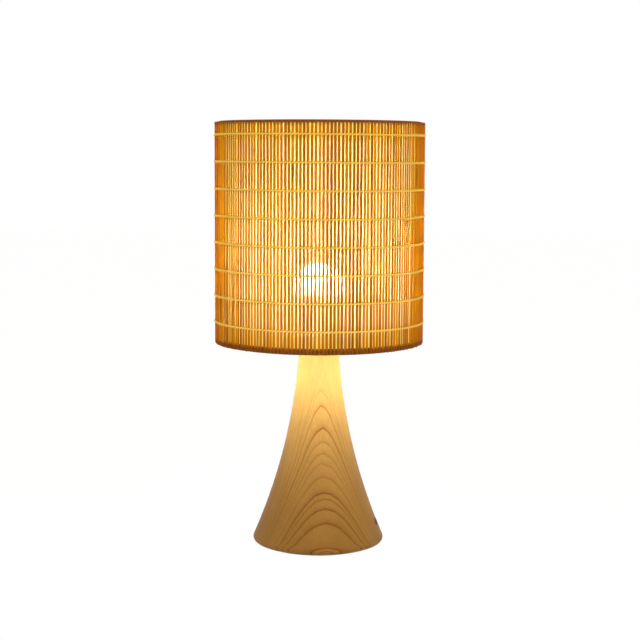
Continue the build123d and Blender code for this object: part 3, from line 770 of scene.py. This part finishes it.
def make_sticks(sticks):
    points = []
    faces = []
    values = {"tone": [], "skin": [], "streak": [], "painted_end_shade": []}
    section = stick_section()
    for stick in sticks:
        levels = stick.heights()
        first = len(points)
        for height in levels:
            knot = stick.knot_share(height)
            swell = 1 + KNOT_SWELL * knot
            end = stick.end_share(height)
            half = stick.width / 2 * swell * (STICK_END_WIDTH + (1 - STICK_END_WIDTH) * end)
            thick = stick.thickness * (STICK_END_THICKNESS + (1 - STICK_END_THICKNESS) * end)
            inset = stick.set_back * (2 - swell) + (1 - end) * STICK_END_INSET * stick.thickness
            for across, out in section:
                angle = stick.angle + (stick.sideways(height) + across * half) / SHADE_RADIUS
                points.append(polar(SHADE_RADIUS - inset + out * thick, angle, height))
                streak_side = 1.0 if across > 0 else STREAK_FAR_SIDE
                streak = STREAK_DARK * stick.streak_share(height) * streak_side
                values["tone"].append(stick.tone)
                values["skin"].append(1.0 if out > -SKIN_DEPTH else 0.0)
                values["streak"].append(min(1.0, streak + KNOT_DARK * knot))
                # Painted shade on the stick ends, where the hoops stand behind them
                values["painted_end_shade"].append(stick.painted_end_shade_share(height))
        for level in range(len(levels) - 1):
            for side in range(STICK_SIDES):
                here = first + level * STICK_SIDES + side
                there = first + level * STICK_SIDES + (side + 1) % STICK_SIDES
                faces.append((here, there, there + STICK_SIDES, here + STICK_SIDES))
        last = first + (len(levels) - 1) * STICK_SIDES
        faces.append(tuple(range(first + STICK_SIDES - 1, first - 1, -1)))
        faces.append(tuple(range(last, last + STICK_SIDES)))
    piece = mesh_piece("split_bamboo_sticks", points, faces, "bamboo", "shade")
    for name, numbers in values.items():
        add_values(piece, name, numbers)
    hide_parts("bamboo_slats")


# Shade: cotton rows twined round the sticks

def twined_path(sticks, height, strand):
    """The closed line of one strand: over one stick and under the next, crossing its twin in each gap."""
    outer = SHADE_RADIUS + YARN_THICKNESS / 2
    inner = SHADE_RADIUS - STICK_THICKNESS - YARN_THICKNESS / 2
    middle = (outer + inner) / 2
    half = (outer - inner) / 2
    path = []
    for number, stick in enumerate(sticks):
        start = stick.angle_at(height)
        after = sticks[(number + 1) % len(sticks)].angle_at(height)
        if after < start:
            after += TURN
        for step in range(YARN_STEPS):
            share = step / YARN_STEPS
            phase = math.pi * (number + share + strand)
            swing = math.tanh(YARN_SQUARENESS * math.cos(phase)) / math.tanh(YARN_SQUARENESS)
            angle = start + (after - start) * share
            rise = YARN_CROSS_RISE * math.sin(phase)
            path.append(Vector(polar(middle + half * swing, angle, height + rise)))
    return path


def add_yarn(points, faces, flat, path):
    """A closed oval tube along a closed path, with its length and turn kept as flat coordinates."""
    first = len(points)
    count = len(path)
    gone = 0.0
    gone_at = []
    for number, here in enumerate(path):
        before = path[number - 1]
        after = path[(number + 1) % count]
        ahead = (after - before).normalized()
        up = (Vector((0, 0, 1)) - ahead * ahead.z).normalized()
        side = ahead.cross(up)
        for step in range(YARN_SIDES):
            turn = TURN * step / YARN_SIDES
            rise = YARN_HEIGHT / 2 * math.cos(turn) * up
            points.append(here + rise + YARN_THICKNESS / 2 * math.sin(turn) * side)
        gone_at.append(gone)
        gone += (after - here).length
    gone_at.append(gone)
    for number in range(count):
        row = first + number * YARN_SIDES
        beyond = first + (number + 1) % count * YARN_SIDES
        low, high = gone_at[number], gone_at[number + 1]
        for step in range(YARN_SIDES):
            follow = (step + 1) % YARN_SIDES
            faces.append((row + step, beyond + step, beyond + follow, row + follow))
            turn, next_turn = step / YARN_SIDES, (step + 1) / YARN_SIDES
            flat += [(low, turn), (high, turn), (high, next_turn), (low, next_turn)]


def make_cotton_rows(sticks):
    low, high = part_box("weaving_threads")
    reach = (high.x - SHADE_RADIUS) / 2
    bottom_row = low.z + reach
    pitch = (high.z - reach - bottom_row) / (ROW_COUNT - 1)
    points = []
    faces = []
    flat = []
    for row in range(ROW_COUNT):
        for strand in range(YARN_STRANDS):
            add_yarn(points, faces, flat, twined_path(sticks, bottom_row + row * pitch, strand))
    piece = mesh_piece("cotton_twine_rows", points, faces, "cotton", "shade")
    add_flat_map(piece, flat)
    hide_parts("weaving_threads")


# Shade: cloth lining behind the sticks

def make_lining():
    """One width of cloth round the inside of the sticks, lapped over itself at the back."""
    low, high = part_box("shade_lining")
    outside = high.x
    lap = LINING_SEAM / outside
    length = TURN + lap
    start = math.pi / 2 - lap / 2
    points = []
    faces = []
    flat = []
    for step in range(LINING_SIDES + 1):
        gone = length * step / LINING_SIDES
        radius = outside - LINING_DROP * gone / length
        for level in range(LINING_LEVELS + 1):
            height = low.z + (high.z - low.z) * level / LINING_LEVELS
            points.append(polar(radius, start + gone, height))
    row = LINING_LEVELS + 1
    wide = outside * length / LINING_SIDES
    tall = (high.z - low.z) / LINING_LEVELS
    for step in range(LINING_SIDES):
        for level in range(LINING_LEVELS):
            here = step * row + level
            faces.append((here, here + row, here + row + 1, here + 1))
            x, y = step * wide, level * tall
            flat += [(x, y), (x + wide, y), (x + wide, y + tall), (x, y + tall)]
    piece = mesh_piece("cloth_lining", points, faces, "lining", "shade")
    add_flat_map(piece, flat)
    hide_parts("shade_lining")


# Shade: cloth hems rolled over the wire hoops

def hem_line(tape, ring, up):
    """The cloth's middle line as radius and height: along the sticks and then round the hoop."""
    tape_low, tape_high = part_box(tape)
    ring_low, ring_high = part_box(ring)
    wire = (ring_high.z - ring_low.z) / 2
    hoop = ring_high.x - wire
    hoop_height = (ring_low.z + ring_high.z) / 2
    outside = tape_high.x - HEM_THICKNESS / 2
    wrap = outside - hoop
    edge = tape_low.z if up > 0 else tape_high.z
    line = [(outside, edge), (outside, (edge + hoop_height) / 2), (outside, hoop_height)]
    for step in range(1, HEM_ROUND_STEPS + 1):
        angle = HEM_WRAP * step / HEM_ROUND_STEPS
        line.append((hoop + wrap * math.cos(angle), hoop_height + up * wrap * math.sin(angle)))
    return [Vector(place) for place in line]


def hem_outline(line, gone):
    """Both faces of the cloth, out along one and back along the other, each point with its way along."""
    outline = []
    for offset in (HEM_THICKNESS / 2, -HEM_THICKNESS / 2):
        side = []
        for number, here in enumerate(line):
            before = line[max(number - 1, 0)]
            after = line[min(number + 1, len(line) - 1)]
            ahead = (after - before).normalized()
            side.append((here + offset * Vector((ahead.y, -ahead.x)), gone[number]))
        outline += side if offset > 0 else side[::-1]
    return outline


def make_hem(name, tape, ring, up):
    line = hem_line(tape, ring, up)
    gone = [0.0]
    for before, after in zip(line, line[1:]):
        gone.append(gone[-1] + (after - before).length)
    outline = hem_outline(line, gone)
    points = []
    faces = []
    flat = []
    count = len(outline)
    mean = sum(here.x for here in line) / len(line)
    for number in range(HEM_SIDES):
        points += [polar(spot.x, TURN * number / HEM_SIDES, spot.y) for spot, _ in outline]
        row = number * count
        beyond = (number + 1) % HEM_SIDES * count
        low, high = number * TURN * mean / HEM_SIDES, (number + 1) * TURN * mean / HEM_SIDES
        for step in range(count):
            follow = (step + 1) % count
            faces.append((row + step, beyond + step, beyond + follow, row + follow))
            here, there = outline[step][1], outline[follow][1]
            flat += [(low, here), (high, here), (high, there), (low, there)]
    piece = mesh_piece(name, points, faces, "linen", "shade")
    add_flat_map(piece, flat)
    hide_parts(tape)


# Foot: felt disc with a soft rim

def make_felt_foot():
    low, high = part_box("felt_pad")
    radius = high.x
    thick = high.z - low.z
    draw = random.Random(SEED + 1)
    waves = [(draw.randint(*FELT_WAVE_COUNTS), draw.uniform(0, TURN)) for _ in range(FELT_WAVES)]
    section = [(ring / FELT_RINGS, 0.0) for ring in range(1, FELT_RINGS)]
    section += [(1 - inset * thick / radius, rise) for inset, rise in FELT_RIM]
    section += [(ring / FELT_RINGS, 1.0) for ring in range(FELT_RINGS - 1, 0, -1)]
    points = []
    for step in range(FELT_SIDES):
        angle = TURN * step / FELT_SIDES
        fray = sum(math.sin(count * angle + start) for count, start in waves) / len(waves)
        for share, rise in section:
            reach = radius * share - FELT_RIM_WAVE * (1 + fray) * (share > FELT_RIM_FROM)
            points.append(polar(reach, angle, low.z + rise * thick))
    count = len(section)
    faces = []
    for step in range(FELT_SIDES):
        here = step * count
        there = (step + 1) % FELT_SIDES * count
        for level in range(count - 1):
            faces.append((here + level, there + level, there + level + 1, here + level + 1))
    faces.append(tuple(step * count for step in range(FELT_SIDES - 1, -1, -1)))
    faces.append(tuple(step * count + count - 1 for step in range(FELT_SIDES)))
    piece = mesh_piece("felt_foot", points, faces, "felt", "base")
    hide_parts("felt_pad")


# Carried-over nodes

def dress_nodes():
    """Gives each CAD node that still shows the material of its slot."""
    for name, node in nodes.items():
        if node.hide_render:
            continue
        if not node.material_slots:
            node.data.materials.append(None)
        for held in node.material_slots:
            held.material = materials[node_slots[name]]


# Stage: floor, backdrop, lights and camera

def seen_directly(s):
    """1 for the eye and for mirror and glass rays, 0 for light that falls on the object."""
    path = s.add("LightPath").outputs
    seen = s.number("MAXIMUM", path["Is Camera Ray"], path["Is Glossy Ray"])
    return s.number("MAXIMUM", seen, path["Is Transmission Ray"])


def make_floor():
    """White paper with a faint shadow on it, clear from below."""
    far = FLOOR_HALF_SIZE
    mesh = bpy.data.meshes.new("floor")
    corners = [(x, y, -FLOOR_DROP) for x, y in ((-far, -far), (far, -far), (far, far), (-far, far))]
    mesh.from_pydata(corners, [], [(0, 1, 2, 3)])
    floor = bpy.data.objects.new("floor", mesh)
    bpy.context.scene.collection.objects.link(floor)
    s = new_material("floor")
    paper = s.add("BsdfDiffuse", {"Color": grey(FLOOR_PAPER)}).outputs[0]
    white = s.add("Emission", {"Color": grey(1.0), "Strength": FLOOR_WHITE}).outputs[0]
    share = s.number("MULTIPLY", seen_directly(s), FLOOR_WHITE_SHARE)
    clear = s.add("BsdfTransparent").outputs[0]
    below = s.add("NewGeometry").outputs["Backfacing"]
    mesh.materials.append(s.done(s.blend(below, s.blend(share, paper, white), clear)))


def make_world():
    s = Shader(bpy.data.worlds.new("studio"))
    room = s.add("Background", {"Color": (*ROOM_COLOUR, 1), "Strength": ROOM_LEVEL}).outputs[0]
    white = s.add("Background", {"Color": grey(1.0), "Strength": 1.0}).outputs[0]
    s.add("OutputWorld", {"Surface": s.blend(seen_directly(s), room, white)})
    bpy.context.scene.world = s.owner


def add_area_light(name, shape, size, place, target, watts, colour):
    """A soft light at a place, turned to a target, that neither the eye nor a mirror sees."""
    light = bpy.data.lights.new(name, "AREA")
    light.shape = shape
    light.size = size
    light.energy = watts
    light.color = colour
    lamp = bpy.data.objects.new(name, light)
    lamp.location = place
    aim = Vector(target) - Vector(place)
    lamp.rotation_euler = aim.to_track_quat("-Z", "Y").to_euler()
    lamp.visible_camera = False
    lamp.visible_glossy = False
    bpy.context.scene.collection.objects.link(lamp)
    return lamp


def light_room():
    middle = (0, 0, (cad_box[0].z + cad_box[1].z) / 2)
    for name, place in SOFT_BOX_PLACES.items():
        add_area_light(name, "SQUARE", SOFT_BOX_SIZE, place, middle, SOFT_BOX_WATTS, ROOM_COLOUR)


def light_neck():
    """The light that the shade's lower wall throws down on the neck, from soft discs round the inside."""
    target = (0, 0, SHADE_LOW.z - NECK_LIGHT_AIM)
    for number in range(NECK_LIGHTS):
        place = polar(NECK_LIGHT_REACH, TURN * number / NECK_LIGHTS, SHADE_LOW.z + NECK_LIGHT_RISE)
        lamp = add_area_light("neck_light", "DISK", NECK_LIGHT_SIZE, place, target, NECK_WATTS, NECK_COLOUR)
        lamp.data.spread = NECK_LIGHT_SPREAD
        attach(lamp, "shade")


def make_camera():
    data = bpy.data.cameras.new("photograph")
    data.lens = CAMERA_LENS
    data.sensor_width = CAMERA_SENSOR
    camera = bpy.data.objects.new("photograph", data)
    camera.location = CAMERA_PLACE
    camera.rotation_euler = (math.pi / 2 - CAMERA_PITCH, CAMERA_ROLL, 0)
    bpy.context.scene.collection.objects.link(camera)
    bpy.context.scene.camera = camera


# The lamp
materials = make_materials()
stick_draw = random.Random(SEED)
all_sticks = [Stick(number, stick_draw) for number in range(STICK_COUNT)]
make_sticks(all_sticks)
make_cotton_rows(all_sticks)
make_lining()
make_hem("top_cloth_hem", "top_hem_tape", "top_ring", 1)
make_hem("bottom_cloth_hem", "bottom_hem_tape", "bottom_ring", -1)
make_felt_foot()
dress_nodes()

# The stage
make_floor()
make_world()
light_room()
light_neck()
make_camera()
bpy.context.scene.view_settings.view_transform = "Standard"
